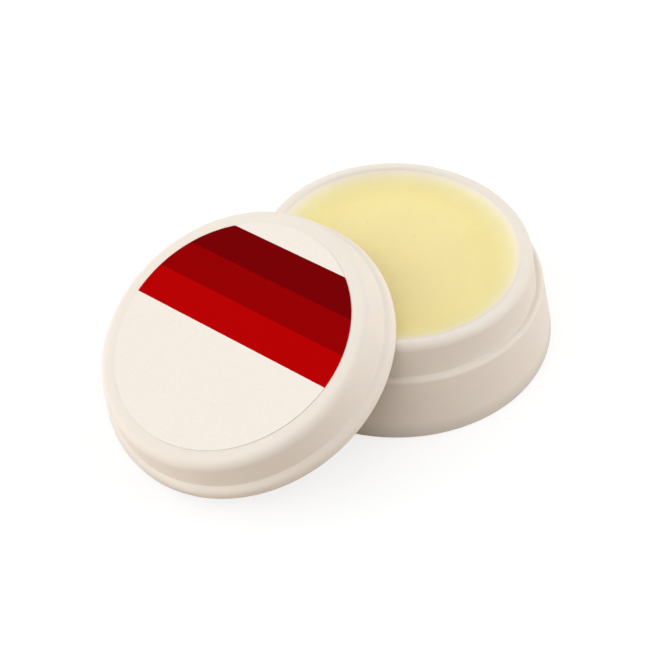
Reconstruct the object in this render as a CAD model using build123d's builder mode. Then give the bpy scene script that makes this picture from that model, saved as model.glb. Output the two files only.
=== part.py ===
"""Fingertip moistener: a low moulded jar of wax-like paste, with its push-on lid off and leaning on it.

The jar stands on the XY plane with its axis on Z. The lid leans on the lip from the -X side, its low
edge on the table. Lengths are in millimetres and angles in degrees.
"""
import os
from math import asin, atan2, cos, degrees, hypot, radians, sin, sqrt, tan

from build123d import *

# Jar, outside
base_diameter = 66.0  # across the foot of the skirt
skirt_flare = 2.65  # the foot stands out past the shoulder by this much all round
ledge_height = 13.85  # of the ledge that the closed lid sits on
ledge_width = 1.6
neck_draft = 7.8  # the neck narrows upwards, so that the lid slips on
jar_height = 20.75
lip_thickness = 2.9

# Jar, inside and underneath
cup_draft = 2.6  # the cup narrows downwards, so that it leaves its mould
cup_wall = 1.5
skirt_wall = 1.5
ledge_thickness = 1.7
floor_thickness = 2.1  # the cup's floor is flush with the foot of the skirt

# Jar, rounded corners
lip_round = 1.25  # on the side of the cup
lip_outer_round = 1.65
shoulder_round = 0.8
neck_root_round = 0.2
foot_round = 0.5
hollow_round = 0.55  # at the top of the hollow between cup and skirt
cup_floor_round = 2.4

# Paste
headspace = 2.55  # from the rim down to the paste
meniscus_rise = 1.3  # the paste climbs the wall by this much
meniscus_width = 3.6
paste_gap = 0.05  # keeps the paste's solid off the cup's wall

# Lid
lid_height = 9.45
lid_top_thickness = 1.4
lid_clearance = 0.1  # all round the neck
lid_wall = 0.83  # just above the bead
lid_wall_top = 1.05  # at the top of the skirt, before its edge is rounded
bead_height = 3.15
bead_slope = 1.0  # the top of the bead falls outwards by this much
bead_overhang = 0.3  # the bead stands out past the jar's shoulder, for the fingers to push
lid_edge_round = 2.45
bead_round = 2.0
bead_foot_round = 0.45
bead_step_round = 0.35
lid_ceiling_round = 0.95
lid_entry_chamfer = 0.55  # leads the lid over the root of the neck

# Label
label_margin = 1.4  # bare flat left between the label and the rounded edge
label_thickness = 0.15

# How the lid leans
rest_angle = 136.2  # round the lid's mouth, from its low point to where it rests on the lip
rest_gap = 0.4  # left between the lid and the lip

# Radii and heights that follow
base_radius = base_diameter / 2
shoulder_radius = base_radius - skirt_flare
neck_root_radius = shoulder_radius - ledge_width
neck_taper = tan(radians(neck_draft))
neck_top_radius = neck_root_radius - neck_taper * (jar_height - ledge_height)
mouth_radius = neck_top_radius - lip_thickness
hollow_top = ledge_height - ledge_thickness
lip_fillet = min(lip_round, 0.45 * lip_thickness)
lip_outer_fillet = min(lip_outer_round, 0.58 * lip_thickness)
paste_level = jar_height - headspace


def cup_radius(height):
    """Inner radius of the cup at a height above the table."""
    return mouth_radius - tan(radians(cup_draft)) * (jar_height - height)


def skirt_radius(height):
    """Outer radius of the flared skirt at a height above the table."""
    return base_radius - skirt_flare * height / ledge_height


def bore_radius(height):
    """Inner radius of the lid at a height above its lower face; it follows the neck."""
    return neck_root_radius - neck_taper * height + lid_clearance


def rounded_outline(corners):
    """A closed outline through (radius, height) points, each with the rounding of its corner."""
    points = [point for point, rounding in corners]
    FilletPolyline(*points, radius=[rounding for point, rounding in corners], close=True)


# The jar: one wall that runs up the skirt, over the lip and down into the cup
with BuildPart() as jar:
    with BuildSketch(Plane.XZ):
        with BuildLine():
            rounded_outline([
                ((0, floor_thickness), 0),
                ((0, 0), 0),
                ((cup_radius(0) + cup_wall, 0), foot_round),
                ((cup_radius(hollow_top) + cup_wall, hollow_top), hollow_round),
                ((skirt_radius(hollow_top) - skirt_wall, hollow_top), hollow_round),
                ((base_radius - skirt_wall, 0), foot_round),
                ((base_radius, 0), foot_round),
                ((shoulder_radius, ledge_height), shoulder_round),
                ((neck_root_radius, ledge_height), neck_root_round),
                ((neck_top_radius, jar_height), lip_outer_fillet),
                ((mouth_radius, jar_height), lip_fillet),
                ((cup_radius(floor_thickness), floor_thickness), cup_floor_round),
            ])
        make_face()
    revolve(axis=Axis.Z)

# The paste: fills the cup and climbs its wall a little
paste_bottom = floor_thickness + paste_gap
paste_edge_height = paste_level + meniscus_rise
paste_edge_radius = cup_radius(paste_edge_height) - paste_gap
with BuildPart() as moistening_paste:
    with BuildSketch(Plane.XZ):
        with BuildLine():
            body = FilletPolyline(
                (0, paste_level),
                (0, paste_bottom),
                (cup_radius(paste_bottom) - paste_gap, paste_bottom),
                (paste_edge_radius, paste_edge_height),
                radius=[0, cup_floor_round],
            )
            surface = Line((0, paste_level), (paste_edge_radius - meniscus_width, paste_level))
            TangentArc(surface @ 1, body @ 1, tangent=surface % 1)
        make_face()
    revolve(axis=Axis.Z)

# The lean: the foot of the bead stands on the table, and the edge of the bore rests on the crest of the lip
bead_radius = shoulder_radius + bead_overhang
resting_radius = bore_radius(0) + lid_entry_chamfer
crest_radius = neck_top_radius - lip_fillet  # where the lid's edge meets the lip
foot_arc_radius = bead_radius - bead_foot_round
resting_run = -resting_radius * cos(radians(rest_angle))  # uphill of the lid's axis
foot_to_rest = foot_arc_radius + resting_run
lever = hypot(foot_to_rest, bead_foot_round)
lean = asin((jar_height + rest_gap - bead_foot_round) / lever) + atan2(bead_foot_round, foot_to_rest)
crest_run = sqrt(crest_radius**2 - (resting_radius * sin(radians(rest_angle))) ** 2)
lid_base = Vector(
    -crest_run - resting_run * cos(lean),
    0,
    foot_arc_radius * sin(lean) + bead_foot_round * (1 - cos(lean)),
)
lid_up = Vector(-sin(lean), 0, cos(lean))
lid_uphill = Vector(cos(lean), 0, sin(lean))
lid_section = Plane(lid_base, x_dir=lid_uphill, z_dir=(0, -1, 0))

# The lid: a cap with a rounded top edge and a half-round bead about its mouth
ceiling_height = lid_height - lid_top_thickness
skirt_step_radius = bore_radius(bead_height) + lid_wall
skirt_top_radius = bore_radius(lid_height) + lid_wall_top
with BuildPart() as lid:
    with BuildSketch(lid_section):
        with BuildLine():
            rounded_outline([
                ((0, lid_height), 0),
                ((0, ceiling_height), 0),
                ((bore_radius(ceiling_height), ceiling_height), lid_ceiling_round),
                ((bore_radius(lid_entry_chamfer), lid_entry_chamfer), 0),
                ((resting_radius, 0), 0),
                ((bead_radius, 0), bead_foot_round),
                ((bead_radius, bead_height - bead_slope), bead_round),
                ((skirt_step_radius, bead_height), bead_step_round),
                ((skirt_top_radius, lid_height), lid_edge_round),
            ])
        make_face()
    revolve(axis=Axis(lid_base, lid_up))

# The label: a paper disc on the flat of the lid
label_radius = skirt_top_radius - lid_edge_round - label_margin
with BuildPart() as lid_label:
    with BuildSketch(Plane(lid_base + lid_up * lid_height, x_dir=lid_uphill, z_dir=lid_up)):
        Circle(label_radius)
    extrude(amount=label_thickness)

os.makedirs("parts", exist_ok=True)
jar.part.label = "jar"
export_step(jar.part, "parts/jar.step")
moistening_paste.part.label = "moistening_paste"
export_step(moistening_paste.part, "parts/moistening_paste.step")
lid.part.label = "lid"
export_step(lid.part, "parts/lid.step")
lid_label.part.label = "lid_label"
export_step(lid_label.part, "parts/lid_label.step")

print(f"lean {degrees(lean):.2f} degrees, lid base {lid_base.X:.3f}, {lid_base.Z:.3f} mm")
print(f"label radius {label_radius:.2f} mm, paste {moistening_paste.part.volume / 1000:.1f} ml")
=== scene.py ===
"""Fingertip moistener: a moulded jar of wax-like paste, with its lid off and leaning on the rim.

Jar, lid, label and paste are all turned shapes, so one Geometry Nodes tree turns each of them from its
half outline. Sizes are in millimetres, and meshes are in metres. The sizes are those of the solids, but for
fine forms such as the dip of the jar's ledge, the thin edge of the paste and the top edge of the lid.
"""

from math import atan2, cos, exp, hypot, radians, sin, tan

import bpy
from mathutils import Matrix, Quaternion, Vector, noise


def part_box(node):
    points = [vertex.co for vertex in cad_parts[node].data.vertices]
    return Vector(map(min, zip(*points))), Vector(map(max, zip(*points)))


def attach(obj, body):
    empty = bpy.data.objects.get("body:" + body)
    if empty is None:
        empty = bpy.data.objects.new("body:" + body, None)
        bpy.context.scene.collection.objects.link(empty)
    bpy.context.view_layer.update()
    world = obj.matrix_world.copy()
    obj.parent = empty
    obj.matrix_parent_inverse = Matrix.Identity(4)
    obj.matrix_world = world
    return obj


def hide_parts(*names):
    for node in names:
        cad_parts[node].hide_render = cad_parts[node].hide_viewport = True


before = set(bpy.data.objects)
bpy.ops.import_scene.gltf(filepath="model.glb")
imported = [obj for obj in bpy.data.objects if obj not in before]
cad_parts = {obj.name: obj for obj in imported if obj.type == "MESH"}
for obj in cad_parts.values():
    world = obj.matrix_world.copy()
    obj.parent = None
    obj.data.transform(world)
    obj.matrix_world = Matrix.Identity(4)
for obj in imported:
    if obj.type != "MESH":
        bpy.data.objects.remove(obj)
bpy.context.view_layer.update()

MM = 0.001

# How shapes are turned
STEPS_ROUND = 256
STEPS_IN_CORNER = 8
PATH_RADIUS = 10.0  # of the ring that outlines are carried round
MERGE_DISTANCE = 0.001
CRISP_ANGLE = 40  # degrees; edges that turn by more are kept crisp

# Jar
BASE_RADIUS = 33.0
SKIRT_FLARE = 2.65
LEDGE_HEIGHT = 13.85
LEDGE_WIDTH = 1.6
LEDGE_DIP = 0.5  # the ledge falls by this much towards the neck
NECK_DRAFT = 7.8  # degrees
JAR_HEIGHT = 20.75
LIP_THICKNESS = 2.9
CUP_DRAFT = 2.6  # degrees
CUP_WALL = 1.5
SKIRT_WALL = 1.5
LEDGE_THICKNESS = 1.7
FLOOR_THICKNESS = 2.1
LIP_ROUND = 1.25
LIP_OUTER_ROUND = 1.65
SHOULDER_ROUND = 0.8
NECK_ROOT_ROUND = 0.2
FOOT_ROUND = 0.5
HOLLOW_ROUND = 0.55
CUP_FLOOR_ROUND = 2.4

# Painted shade on jar and lid: their colour is darkened towards where they stand on the desk
FOOT_SHADE_HEIGHT = 3.6
FOOT_SHADE_LEVEL = 0.8  # of the unshaded colour, at the desk

# Paste
PASTE_LEVEL = 18.2
PASTE_GAP = 0.05  # between the paste and the cup's floor and wall
FEATHER_TURN = 52.0  # degrees that the paste's thin edge goes up over the lip's inner rounding
FEATHER_STEPS = 6
FEATHER_GAP = 0.015  # between that edge and the lip
MENISCUS_RINGS = 40
RING_SPACING = 0.2  # of the rings that its flat is divided into
PASTE_STEPS_ROUND = 480
THICK_RADIUS = 22.5  # the paste holds light out to here
THIN_RADIUS = 24.5  # from here on it is too thin to hold any
PASTE_TINTS = [  # radius, and the colour there: paler where it thins out over the white wall
    (12.0, "#F7E6A6"),
    (20.5, "#F7E7A2"),
    (22.5, "#F7E9AD"),
    (23.5, "#F8EBB6"),
    (24.4, "#F8EDCB"),
    (24.9, "#F6ECD6"),
    (25.13, "#F3EADC"),
]

# The paste's uneven face
EVEN_MARGIN = 0.2  # left even beside the cup's wall
LEVEL_TOLERANCE = 0.01
SWELL_HEIGHT = 0.05
SWELL_LENGTH = 8.0
RIPPLE_HEIGHT = 0.015
RIPPLE_LENGTH = 2.5
BUBBLE_PITS = [
    (1.8, 12.1), (17.3, -2.6), (6.5, -6.5), (1.7, -11.8),
    (7.2, 2.8), (15.2, -3.0), (9.0, 15.3), (-3.3, 21.6),
]
BUBBLE_PIT_SIZE = 0.28
BUBBLE_PIT_DEPTH = 0.14
FROTH_AZIMUTH = 120.0  # degrees: froth gathered at this side of the cup when the paste was poured
FROTH_SPREAD = 8  # the higher it is, the closer the froth keeps to that side
FROTH_SIZE = 0.5
FROTH_DEPTH = 0.12

# Lid
LID_HEIGHT = 9.45
LID_TOP_THICKNESS = 1.4
LID_CLEARANCE = 0.1
LID_WALL = 0.83  # just above the bead
LID_WALL_TOP = 0.53  # at the top of the skirt, before its edge is rounded
BEAD_HEIGHT = 3.15
BEAD_SLOPE = 1.0
BEAD_OVERHANG = 0.3
LID_EDGE_FALL = 0.25  # the top falls by this much from the label to its edge
LID_EDGE_ROUND = 2.0
LID_FLAT_MARGIN = 0.6  # flat left round the label, before the top starts to fall
LID_FLAT_ROUND = 5.0
BEAD_ROUND = 2.0
BEAD_FOOT_ROUND = 0.45
BEAD_STEP_ROUND = 0.35
LID_CEILING_ROUND = 0.95
LID_ENTRY_CHAMFER = 0.55

# Label
LABEL_MARGIN = 1.33  # left between the label and the rounded edge
LABEL_THICKNESS = 0.15
LABEL_EDGE_ROUND = 0.04
PRINT_TURN = 14.4  # degrees that the print is turned from the lid's uphill line
STRIPES_TOP = 19.94  # above the label's middle
STRIPE_WIDTH = 7.0
STRIPE_REDS = ["#B60002", "#950002", "#770004"]  # from the lowest stripe up
LABEL_WHITE = "#F3EBE1"

# Light: the azimuth, elevation and strength of each soft box, and how fast each fades from its middle
SOFT_BOXES = [(146, 7, 3.5), (-28, 19, 3.25), (63, 43, 1.35), (-158, 48, 1.6)]
SOFT_BOX_FALL = 6.0

# Table
TABLE_WIDTH = 3000.0
TABLE_GAP = 0.05  # between the table and the foot of the jar

# Camera, with its angles in degrees
CAMERA_AIM = (-12.314, 6.826, 0)  # the point on the table that it looks at
CAMERA_DISTANCE = 366.28
CAMERA_AZIMUTH = -125.45
CAMERA_ELEVATION = 45.164
CAMERA_ROLL = -1.374
CAMERA_SENSOR = 36
CAMERA_LENS = 95.49
CAMERA_NEAREST = 10.0  # that it still shows

# Radii and heights that follow
SHOULDER_RADIUS = BASE_RADIUS - SKIRT_FLARE
NECK_ROOT_RADIUS = SHOULDER_RADIUS - LEDGE_WIDTH
NECK_TAPER = tan(radians(NECK_DRAFT))
NECK_TOP_RADIUS = NECK_ROOT_RADIUS - NECK_TAPER * (JAR_HEIGHT - LEDGE_HEIGHT)
MOUTH_RADIUS = NECK_TOP_RADIUS - LIP_THICKNESS
HOLLOW_TOP = LEDGE_HEIGHT - LEDGE_THICKNESS
BEAD_RADIUS = SHOULDER_RADIUS + BEAD_OVERHANG
CEILING_HEIGHT = LID_HEIGHT - LID_TOP_THICKNESS


def cup_radius(height):
    """Inner radius of the cup at a height above the table."""
    return MOUTH_RADIUS - tan(radians(CUP_DRAFT)) * (JAR_HEIGHT - height)


def skirt_radius(height):
    """Outer radius of the flared skirt at a height above the table."""
    return BASE_RADIUS - SKIRT_FLARE * height / LEDGE_HEIGHT


def bore_radius(height):
    """Inner radius of the lid at a height above its lower face."""
    return NECK_ROOT_RADIUS - NECK_TAPER * height + LID_CLEARANCE


LID_TOP_RADIUS = bore_radius(LID_HEIGHT) + LID_WALL_TOP
LABEL_RADIUS = LID_TOP_RADIUS - LID_EDGE_ROUND - LABEL_MARGIN


def lid_place():
    """How far the lid leans, and the middle of its lower face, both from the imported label."""
    low, high = (Vector(corner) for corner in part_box("lid_label"))
    run, rise = (high.x - low.x) / MM, (high.z - low.z) / MM
    across = 2 * LABEL_RADIUS
    lean = atan2(across * rise - LABEL_THICKNESS * run, across * run - LABEL_THICKNESS * rise)
    up = Vector((-sin(lean), 0, cos(lean)))
    return lean, (low + high) / 2 - up * (LID_HEIGHT + LABEL_THICKNESS / 2) * MM


LEAN, LID_FOOT = lid_place()
LID_UP = Vector((-sin(LEAN), 0, cos(LEAN)))
LID_UPHILL = Vector((cos(LEAN), 0, sin(LEAN)))
LID_SIDE = Vector((0, 1, 0))


def linear(hex_colour):
    """A colour written as sRGB hex, as the linear colour that a socket takes."""
    channels = [int(hex_colour[i:i + 2], 16) / 255 for i in (1, 3, 5)]
    return [c / 12.92 if c <= 0.04045 else ((c + 0.055) / 1.055) ** 2.4 for c in channels] + [1]


def add(tree, kind, inputs=None, **settings):
    """Adds a node; each of its inputs is given a plain value or another node's output."""
    node = tree.nodes.new(kind)
    for name, value in settings.items():
        setattr(node, name, value)
    for socket, value in (inputs or {}).items():
        if isinstance(value, bpy.types.NodeSocket):
            tree.links.new(value, node.inputs[socket])
        else:
            node.inputs[socket].default_value = value
    return node


def new_material(name):
    """An empty material, its tree and its shader, which is joined to the output."""
    material = bpy.data.materials.new(name)
    material.use_nodes = True
    tree = material.node_tree
    tree.nodes.clear()
    shader = add(tree, "ShaderNodeBsdfPrincipled")
    add(tree, "ShaderNodeOutputMaterial", {"Surface": shader.outputs["BSDF"]})
    return material, tree, shader


def moulded_polypropylene(name):
    """Cream polypropylene from a satin mould: soft gloss, a faint grain, and a little light let through.

    The light that goes in comes out warmer, which keeps the shaded sides from looking grey. Near the
    desk the colour is painted darker, a painted shade that fades out with height.
    """
    material, tree, shader = new_material(name)
    place = add(tree, "ShaderNodeTexCoord").outputs["Object"]
    cloud = add(tree, "ShaderNodeTexNoise", {"Vector": place, "Scale": 1 / (12 * MM), "Detail": 2.0})
    colour = add(tree, "ShaderNodeMix", {
        "Factor": cloud.outputs["Fac"],
        "A": linear("#EBE3D7"),
        "B": linear("#F0E8DE"),
    }, data_type="RGBA")
    height = add(tree, "ShaderNodeSeparateXYZ", {"Vector": place}).outputs["Z"]
    # painted shade: the colour darkens towards the desk, up to the given height
    painted_foot_shade = add(tree, "ShaderNodeMapRange", {
        "Value": height,
        "From Max": FOOT_SHADE_HEIGHT * MM,
        "To Min": FOOT_SHADE_LEVEL,
    })
    foot_shaded_colour = add(tree, "ShaderNodeVectorMath", {
        0: colour.outputs["Result"],
        "Scale": painted_foot_shade.outputs["Result"],
    }, operation="SCALE")
    grain = add(tree, "ShaderNodeTexNoise", {"Vector": place, "Scale": 1 / (0.35 * MM), "Detail": 3.0})
    bump = add(tree, "ShaderNodeBump", {
        "Strength": 0.25,
        "Distance": 0.02 * MM,
        "Height": grain.outputs["Fac"],
    })
    gloss = add(tree, "ShaderNodeMapRange", {
        "Value": cloud.outputs["Fac"],
        "To Min": 0.5,
        "To Max": 0.6,
    })
    tree.links.new(foot_shaded_colour.outputs["Vector"], shader.inputs["Base Color"])
    tree.links.new(gloss.outputs["Result"], shader.inputs["Roughness"])
    tree.links.new(bump.outputs["Normal"], shader.inputs["Normal"])
    shader.inputs["IOR"].default_value = 1.49
    shader.inputs["Specular IOR Level"].default_value = 0.28
    shader.inputs["Subsurface Weight"].default_value = 0.5
    shader.inputs["Subsurface Radius"].default_value = (1.0, 0.72, 0.5)
    shader.inputs["Subsurface Scale"].default_value = 0.4 * MM
    return material


def set_wax_paste():
    """Paste of wax and glycerine, poured hot and set: pale yellow, half clear, with a dull wet sheen.

    Where it thins out over the white wall it is paler, and too thin to hold light.
    """
    material, tree, shader = new_material("set_wax_paste")
    place = add(tree, "ShaderNodeTexCoord").outputs["Object"]
    flat = add(tree, "ShaderNodeVectorMath", {0: place, 1: (1, 1, 0)}, operation="MULTIPLY").outputs[0]
    radius = add(tree, "ShaderNodeVectorMath", {0: flat}, operation="LENGTH").outputs["Value"]
    rim = PASTE_TINTS[-1][0]
    share = add(tree, "ShaderNodeMath", {0: radius, 1: rim * MM}, operation="DIVIDE").outputs[0]
    tints = add(tree, "ShaderNodeValToRGB", {"Fac": share})
    stops = tints.color_ramp.elements
    for stop in range(len(PASTE_TINTS) - len(stops)):
        stops.new(1.0)
    for stop, (where, tint) in zip(stops, PASTE_TINTS):
        stop.position = where / rim
        stop.color = linear(tint)
    cloud = add(tree, "ShaderNodeTexNoise", {"Vector": place, "Scale": 1 / (7 * MM), "Detail": 3.0})
    depth = add(tree, "ShaderNodeMapRange", {
        "Value": cloud.outputs["Fac"],
        "To Min": 0.97,
        "To Max": 1.03,
    })
    colour = add(tree, "ShaderNodeVectorMath", {
        0: tints.outputs["Color"],
        "Scale": depth.outputs["Result"],
    }, operation="SCALE")
    held = add(tree, "ShaderNodeMapRange", {
        "Value": radius,
        "From Min": THICK_RADIUS * MM,
        "From Max": THIN_RADIUS * MM,
        "To Min": 0.5,
        "To Max": 0.0,
    })
    skin = add(tree, "ShaderNodeTexNoise", {"Vector": place, "Scale": 1 / (1.2 * MM), "Detail": 4.0})
    bump = add(tree, "ShaderNodeBump", {
        "Strength": 0.2,
        "Distance": 0.03 * MM,
        "Height": skin.outputs["Fac"],
    })
    sheen = add(tree, "ShaderNodeMapRange", {
        "Value": skin.outputs["Fac"],
        "To Min": 0.38,
        "To Max": 0.52,
    })
    tree.links.new(colour.outputs["Vector"], shader.inputs["Base Color"])
    tree.links.new(held.outputs["Result"], shader.inputs["Subsurface Weight"])
    tree.links.new(sheen.outputs["Result"], shader.inputs["Roughness"])
    tree.links.new(bump.outputs["Normal"], shader.inputs["Normal"])
    shader.inputs["IOR"].default_value = 1.44
    shader.inputs["Specular IOR Level"].default_value = 0.35
    shader.inputs["Subsurface Radius"].default_value = (1.0, 0.8, 0.35)
    shader.inputs["Subsurface Scale"].default_value = 2.0 * MM
    return material


def print_share(height):
    """Where a height above the label's middle lies in its print, from 0 at the foot to 1 at the top."""
    return 0.5 + height / (2 * LABEL_RADIUS)


def printed_label_paper():
    """Coated label paper with three printed stripes, each a deeper red than the one under it.

    The fibres under the coat mottle white and ink a little; they are drawn coarser than they are, to show.
    """
    material, tree, shader = new_material("printed_label_paper")
    place = add(tree, "ShaderNodeUVMap", uv_map="print").outputs["UV"]
    height = add(tree, "ShaderNodeSeparateXYZ", {"Vector": place}).outputs["Y"]
    stripes = add(tree, "ShaderNodeValToRGB", {"Fac": height})
    stripes.color_ramp.interpolation = "CONSTANT"
    bare_below, bare_above = stripes.color_ramp.elements
    bare_below.color = linear(LABEL_WHITE)
    bare_above.color = linear(LABEL_WHITE)
    bare_above.position = print_share(STRIPES_TOP)
    for count, red in enumerate(STRIPE_REDS):
        foot = STRIPES_TOP - STRIPE_WIDTH * (len(STRIPE_REDS) - count)
        stripes.color_ramp.elements.new(print_share(foot)).color = linear(red)
    solid = add(tree, "ShaderNodeTexCoord").outputs["Object"]
    fibres = add(tree, "ShaderNodeTexNoise", {"Vector": solid, "Scale": 1 / (0.5 * MM), "Detail": 4.0})
    mottle = add(tree, "ShaderNodeMapRange", {
        "Value": fibres.outputs["Fac"],
        "To Min": 0.94,
        "To Max": 1.04,
    })
    shade = add(tree, "ShaderNodeVectorMath", {
        0: stripes.outputs["Color"],
        "Scale": mottle.outputs["Result"],
    }, operation="SCALE")
    bump = add(tree, "ShaderNodeBump", {
        "Strength": 0.2,
        "Distance": 0.015 * MM,
        "Height": fibres.outputs["Fac"],
    })
    gloss = add(tree, "ShaderNodeMapRange", {
        "Value": fibres.outputs["Fac"],
        "To Min": 0.55,
        "To Max": 0.7,
    })
    tree.links.new(shade.outputs["Vector"], shader.inputs["Base Color"])
    tree.links.new(gloss.outputs["Result"], shader.inputs["Roughness"])
    tree.links.new(bump.outputs["Normal"], shader.inputs["Normal"])
    shader.inputs["Specular IOR Level"].default_value = 0.01
    return material


def pale_table():
    """A white table that stays white to the eye, and keeps a soft shadow under the jar and lid."""
    material = bpy.data.materials.new("pale_table")
    material.use_nodes = True
    tree = material.node_tree
    tree.nodes.clear()
    path = add(tree, "ShaderNodeLightPath").outputs
    looked_at = path["Is Camera Ray"]
    for ray in ("Is Glossy Ray", "Is Transmission Ray"):
        looked_at = add(tree, "ShaderNodeMath", {0: looked_at, 1: path[ray]}, use_clamp=True).outputs[0]
    paper = add(tree, "ShaderNodeBsdfDiffuse", {"Color": linear("#CEBCAC")})
    faint = add(tree, "ShaderNodeBsdfDiffuse", {"Color": linear("#959595")})
    glow = add(tree, "ShaderNodeEmission", {"Color": linear("#FFFFFF"), "Strength": 0.74})
    seen = add(tree, "ShaderNodeAddShader", {0: faint.outputs[0], 1: glow.outputs[0]})
    mix = add(tree, "ShaderNodeMixShader", {0: looked_at, 1: paper.outputs[0], 2: seen.outputs[0]})
    add(tree, "ShaderNodeOutputMaterial", {"Surface": mix.outputs[0]})
    return material


def turning_tree():
    """The tree that rounds the corners of a half outline, turns it about its axis and leans it."""
    tree = bpy.data.node_groups.new("turned_shape", "GeometryNodeTree")
    tree.is_modifier = True
    inputs = {
        "Outline": "NodeSocketGeometry",
        "Steps Round": "NodeSocketInt",
        "Steps In Corner": "NodeSocketInt",
        "Lean": "NodeSocketFloat",
        "Foot": "NodeSocketVector",
        "Finish": "NodeSocketMaterial",
    }
    for name, kind in inputs.items():
        tree.interface.new_socket(name, in_out="INPUT", socket_type=kind)
    tree.interface.new_socket("Shell", in_out="OUTPUT", socket_type="NodeSocketGeometry")
    given = add(tree, "NodeGroupInput").outputs
    rounding = add(tree, "GeometryNodeInputRadius").outputs[0]
    outline = add(tree, "GeometryNodeFilletCurve", {
        "Curve": given["Outline"],
        "Count": given["Steps In Corner"],
        "Radius": rounding,
    }, mode="POLY").outputs[0]
    path = add(tree, "GeometryNodeCurvePrimitiveCircle", {
        "Resolution": given["Steps Round"],
        "Radius": PATH_RADIUS * MM,
    }).outputs[0]
    shell = add(tree, "GeometryNodeCurveToMesh", {"Curve": path, "Profile Curve": outline}).outputs[0]
    shell = add(tree, "GeometryNodeMergeByDistance", {
        "Geometry": shell,
        "Distance": MERGE_DISTANCE * MM,
    }).outputs[0]
    shell = add(tree, "GeometryNodeFlipFaces", {"Mesh": shell}).outputs[0]  # to face outwards
    shell = add(tree, "GeometryNodeSetShadeSmooth", {"Geometry": shell}).outputs[0]
    turn = add(tree, "ShaderNodeCombineXYZ", {"Y": given["Lean"]}).outputs[0]
    turn = add(tree, "FunctionNodeEulerToRotation", {0: turn}).outputs[0]
    shell = add(tree, "GeometryNodeTransform", {
        "Geometry": shell,
        "Translation": given["Foot"],
        "Rotation": turn,
    }).outputs[0]
    shell = add(tree, "GeometryNodeRealizeInstances", {"Geometry": shell}).outputs[0]
    shell = add(tree, "GeometryNodeSetMaterial", {
        "Geometry": shell,
        "Material": given["Finish"],
    }).outputs[0]
    add(tree, "NodeGroupOutput", {"Shell": shell})
    return tree


TURNED_SHAPE = turning_tree()


def plain_mesh(maker):
    """The mesh that an object's modifiers give; the object itself goes."""
    depsgraph = bpy.context.evaluated_depsgraph_get()
    mesh = bpy.data.meshes.new_from_object(maker.evaluated_get(depsgraph), depsgraph=depsgraph)
    bpy.data.objects.remove(maker)
    return mesh


def turned_mesh(name, corners, finish, steps_round=STEPS_ROUND, lean=0.0, foot=(0, 0, 0)):
    """A closed shell, turned from ((radius, height), rounding) corners that run from pole to pole."""
    outline = bpy.data.curves.new(name, "CURVE")
    outline.dimensions = "3D"
    spline = outline.splines.new("POLY")
    spline.points.add(len(corners) - 1)
    for point, ((radius, height), rounding) in zip(spline.points, corners):
        point.co = ((radius - PATH_RADIUS) * MM, -height * MM, 0, 1)
        point.radius = rounding * MM
    maker = bpy.data.objects.new(name, outline)
    bpy.context.collection.objects.link(maker)
    turned = maker.modifiers.new("turned", "NODES")
    turned.node_group = TURNED_SHAPE
    values = {
        "Steps Round": steps_round,
        "Steps In Corner": STEPS_IN_CORNER,
        "Lean": -lean,
        "Foot": foot,
        "Finish": finish,
    }
    for socket in TURNED_SHAPE.interface.items_tree:
        if socket.name in values:
            turned[socket.identifier] = values[socket.name]
    return plain_mesh(maker)


def finished_piece(name, mesh):
    """The object of a mesh, with crisp edges kept and flats shaded flat."""
    mesh.set_sharp_from_angle(angle=radians(CRISP_ANGLE))
    shell = bpy.data.objects.new(name, mesh)
    bpy.context.collection.objects.link(shell)
    shell.modifiers.new("flats", "WEIGHTED_NORMAL").keep_sharp = True
    piece = bpy.data.objects.new(name, plain_mesh(shell))
    bpy.context.collection.objects.link(piece)
    return piece


def dress(piece, body, node):
    """Puts a finished piece on its body, in the place of its solid."""
    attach(piece, body)
    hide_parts(node)


def make_jar():
    """One wall that runs up the skirt, over the lip and down into the cup."""
    shell = turned_mesh("moulded_jar", [
        ((0, 0), 0),
        ((cup_radius(0) + CUP_WALL, 0), FOOT_ROUND),
        ((cup_radius(HOLLOW_TOP) + CUP_WALL, HOLLOW_TOP), HOLLOW_ROUND),
        ((skirt_radius(HOLLOW_TOP) - SKIRT_WALL, HOLLOW_TOP), HOLLOW_ROUND),
        ((BASE_RADIUS - SKIRT_WALL, 0), FOOT_ROUND),
        ((BASE_RADIUS, 0), FOOT_ROUND),
        ((SHOULDER_RADIUS, LEDGE_HEIGHT), SHOULDER_ROUND),
        ((NECK_ROOT_RADIUS + NECK_TAPER * LEDGE_DIP, LEDGE_HEIGHT - LEDGE_DIP), NECK_ROOT_ROUND),
        ((NECK_TOP_RADIUS, JAR_HEIGHT), LIP_OUTER_ROUND),
        ((MOUTH_RADIUS, JAR_HEIGHT), LIP_ROUND),
        ((cup_radius(FLOOR_THICKNESS), FLOOR_THICKNESS), CUP_FLOOR_ROUND),
        ((0, FLOOR_THICKNESS), 0),
    ], moulded_polypropylene("moulded_polypropylene_jar"))
    dress(finished_piece("moulded_jar", shell), "jar", "jar")


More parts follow.
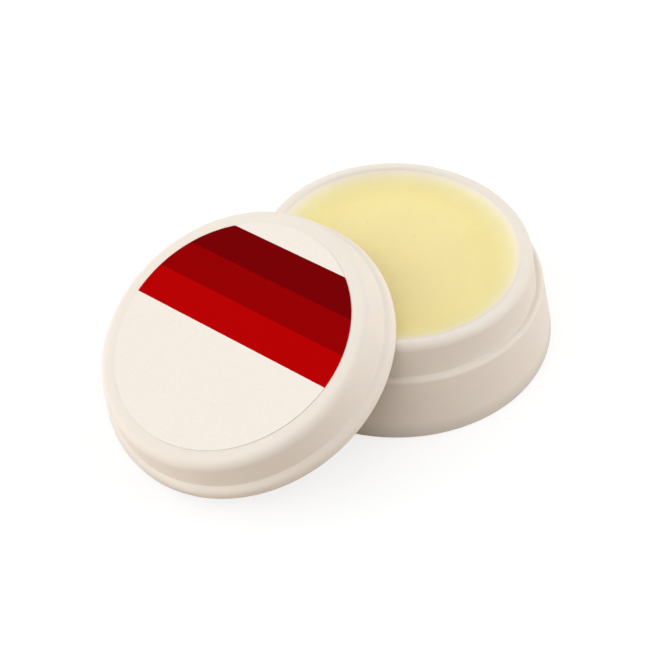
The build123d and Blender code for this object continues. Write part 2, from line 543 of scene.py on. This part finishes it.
def make_lid():
    """A cap with a rounded top edge and a half-round bead about its mouth."""
    shell = turned_mesh("moulded_lid", [
        ((0, CEILING_HEIGHT), 0),
        ((bore_radius(CEILING_HEIGHT), CEILING_HEIGHT), LID_CEILING_ROUND),
        ((bore_radius(LID_ENTRY_CHAMFER), LID_ENTRY_CHAMFER), 0),
        ((bore_radius(0) + LID_ENTRY_CHAMFER, 0), 0),
        ((BEAD_RADIUS, 0), BEAD_FOOT_ROUND),
        ((BEAD_RADIUS, BEAD_HEIGHT - BEAD_SLOPE), BEAD_ROUND),
        ((bore_radius(BEAD_HEIGHT) + LID_WALL, BEAD_HEIGHT), BEAD_STEP_ROUND),
        ((LID_TOP_RADIUS, LID_HEIGHT - LID_EDGE_FALL), LID_EDGE_ROUND),
        ((LABEL_RADIUS + LID_FLAT_MARGIN, LID_HEIGHT), LID_FLAT_ROUND),
        ((0, LID_HEIGHT), 0),
    ], moulded_polypropylene("moulded_polypropylene_lid"), lean=LEAN, foot=LID_FOOT)
    dress(finished_piece("moulded_lid", shell), "lid", "lid")


def make_label():
    """A paper disc on the flat of the lid, with its print in a UV map across its whole width."""
    face = LID_FOOT + LID_UP * LID_HEIGHT * MM
    disc = turned_mesh("printed_label", [
        ((0, 0), 0),
        ((LABEL_RADIUS, 0), 0),
        ((LABEL_RADIUS, LABEL_THICKNESS), LABEL_EDGE_ROUND),
        ((0, LABEL_THICKNESS), 0),
    ], printed_label_paper(), lean=LEAN, foot=face)
    turn = radians(PRINT_TURN)
    print_up = LID_UPHILL * cos(turn) + LID_SIDE * sin(turn)
    print_along = LID_UPHILL * sin(turn) - LID_SIDE * cos(turn)
    label = finished_piece("printed_label", disc)
    mesh = label.data
    uv = mesh.uv_layers.new(name="print").data
    for loop in mesh.loops:
        offset = (mesh.vertices[loop.vertex_index].co - face) / (2 * LABEL_RADIUS * MM)
        uv[loop.index].uv = (0.5 + offset.dot(print_along), 0.5 + offset.dot(print_up))
    dress(label, "lid", "lid_label")


def paste_swell(x, y):
    """How far the set surface stands off its true shape: a soft swell, pits of burst bubbles, and froth."""
    # The third value given to each noise only picks one pattern out of many
    swell = SWELL_HEIGHT * noise.noise((x / SWELL_LENGTH, y / SWELL_LENGTH, 0.7))
    swell += RIPPLE_HEIGHT * noise.noise((x / RIPPLE_LENGTH, y / RIPPLE_LENGTH, 4.1))
    for pit_x, pit_y in BUBBLE_PITS:
        off = hypot(x - pit_x, y - pit_y) / BUBBLE_PIT_SIZE
        swell -= BUBBLE_PIT_DEPTH * exp(-off ** 2)
    middle = radians(FROTH_AZIMUTH)
    beside = max(0, (x * cos(middle) + y * sin(middle)) / MOUTH_RADIUS)
    froth = beside ** FROTH_SPREAD * max(0, noise.noise((x / FROTH_SIZE, y / FROTH_SIZE, 9.3)))
    return swell - FROTH_DEPTH * froth


def make_paste():
    """The paste that fills the cup: it thins out to a feather edge on the lip, and its face is uneven."""
    bottom = FLOOR_THICKNESS + PASTE_GAP
    corners = [
        ((0, bottom), 0),
        ((cup_radius(bottom) - PASTE_GAP, bottom), CUP_FLOOR_ROUND),
    ]
    lip_middle, lip_start = MOUTH_RADIUS + LIP_ROUND, JAR_HEIGHT - LIP_ROUND
    reach = LIP_ROUND + FEATHER_GAP
    for step in range(FEATHER_STEPS + 1):
        turn = radians(FEATHER_TURN) * step / FEATHER_STEPS
        corners.append(((lip_middle - reach * cos(turn), lip_start + reach * sin(turn)), 0))
    (edge, edge_height), rounding = corners[-1]
    slope = radians(90 - FEATHER_TURN)
    meniscus_radius = (edge_height - PASTE_LEVEL) / (1 - cos(slope))
    flat = edge - meniscus_radius * sin(slope)
    for ring in range(1, MENISCUS_RINGS):
        turn = slope * (1 - ring / MENISCUS_RINGS)
        climb = meniscus_radius * (1 - cos(turn))
        corners.append(((flat + meniscus_radius * sin(turn), PASTE_LEVEL + climb), 0))
    rings = round(flat / RING_SPACING)
    for ring in range(rings + 1):
        corners.append(((flat * (1 - ring / rings), PASTE_LEVEL), 0))
    mesh = turned_mesh("set_paste", corners, set_wax_paste(), steps_round=PASTE_STEPS_ROUND)
    lowest = (PASTE_LEVEL - LEVEL_TOLERANCE) * MM
    widest = cup_radius(PASTE_LEVEL) - EVEN_MARGIN
    for vertex in mesh.vertices:
        x, y = vertex.co.x / MM, vertex.co.y / MM
        if vertex.co.z > lowest and hypot(x, y) < widest:
            vertex.co.z += paste_swell(x, y) * MM
    dress(finished_piece("set_paste", mesh), "jar", "moistening_paste")


def make_table():
    """The pale table under the part."""
    half = TABLE_WIDTH / 2 * MM
    mesh = bpy.data.meshes.new("table")
    corners = [(-half, -half, 0), (half, -half, 0), (half, half, 0), (-half, half, 0)]
    mesh.from_pydata(corners, [], [(0, 1, 2, 3)])
    mesh.materials.append(pale_table())
    table = bpy.data.objects.new("table", mesh)
    table.location.z = -TABLE_GAP * MM
    bpy.context.collection.objects.link(table)


def heading(azimuth, elevation):
    """The direction, of length 1, that two angles in degrees give."""
    flat = cos(radians(elevation))
    return Vector((flat * cos(radians(azimuth)), flat * sin(radians(azimuth)), sin(radians(elevation))))


def light_room():
    """Four soft boxes: one low on each side, one behind the jar, and one over the camera and to its left."""
    world = bpy.data.worlds.new("soft_studio")
    bpy.context.scene.world = world
    world.use_nodes = True
    tree = world.node_tree
    tree.nodes.clear()
    direction = add(tree, "ShaderNodeTexCoord").outputs["Generated"]
    light = 0.0
    for azimuth, elevation, strength in SOFT_BOXES:
        nearness = add(tree, "ShaderNodeVectorMath", {
            0: direction,
            1: heading(azimuth, elevation),
        }, operation="DOT_PRODUCT")
        nearness = add(tree, "ShaderNodeMath", {0: nearness.outputs["Value"], 1: 0.0}, operation="MAXIMUM")
        glow = add(tree, "ShaderNodeMath", {0: nearness.outputs[0], 1: SOFT_BOX_FALL}, operation="POWER")
        light = add(tree, "ShaderNodeMath", {
            0: glow.outputs[0],
            1: strength,
            2: light,
        }, operation="MULTIPLY_ADD").outputs[0]
    room = add(tree, "ShaderNodeBackground", {"Color": linear("#FFFFFF"), "Strength": light})
    white = add(tree, "ShaderNodeBackground", {"Color": linear("#FFFFFF")})
    path = add(tree, "ShaderNodeLightPath").outputs
    mix = add(tree, "ShaderNodeMixShader", {
        0: path["Is Camera Ray"],
        1: room.outputs[0],
        2: white.outputs[0],
    })
    add(tree, "ShaderNodeOutputWorld", {"Surface": mix.outputs[0]})


def place_camera():
    """A camera where the photographer stood: half over the jar, on the side that the lid leans on."""
    towards = heading(CAMERA_AZIMUTH, CAMERA_ELEVATION)
    roll = Quaternion((0, 0, 1), radians(CAMERA_ROLL))
    lens = bpy.data.cameras.new("camera")
    lens.sensor_width = CAMERA_SENSOR
    lens.lens = CAMERA_LENS
    lens.clip_start = CAMERA_NEAREST * MM
    camera = bpy.data.objects.new("camera", lens)
    camera.location = (Vector(CAMERA_AIM) + towards * CAMERA_DISTANCE) * MM
    camera.rotation_mode = "QUATERNION"
    camera.rotation_quaternion = (-towards).to_track_quat("-Z", "Y") @ roll
    bpy.context.collection.objects.link(camera)
    bpy.context.scene.camera = camera


make_jar()
make_paste()
make_lid()
make_label()
make_table()
light_room()
place_camera()
bpy.context.scene.view_settings.view_transform = "Standard"
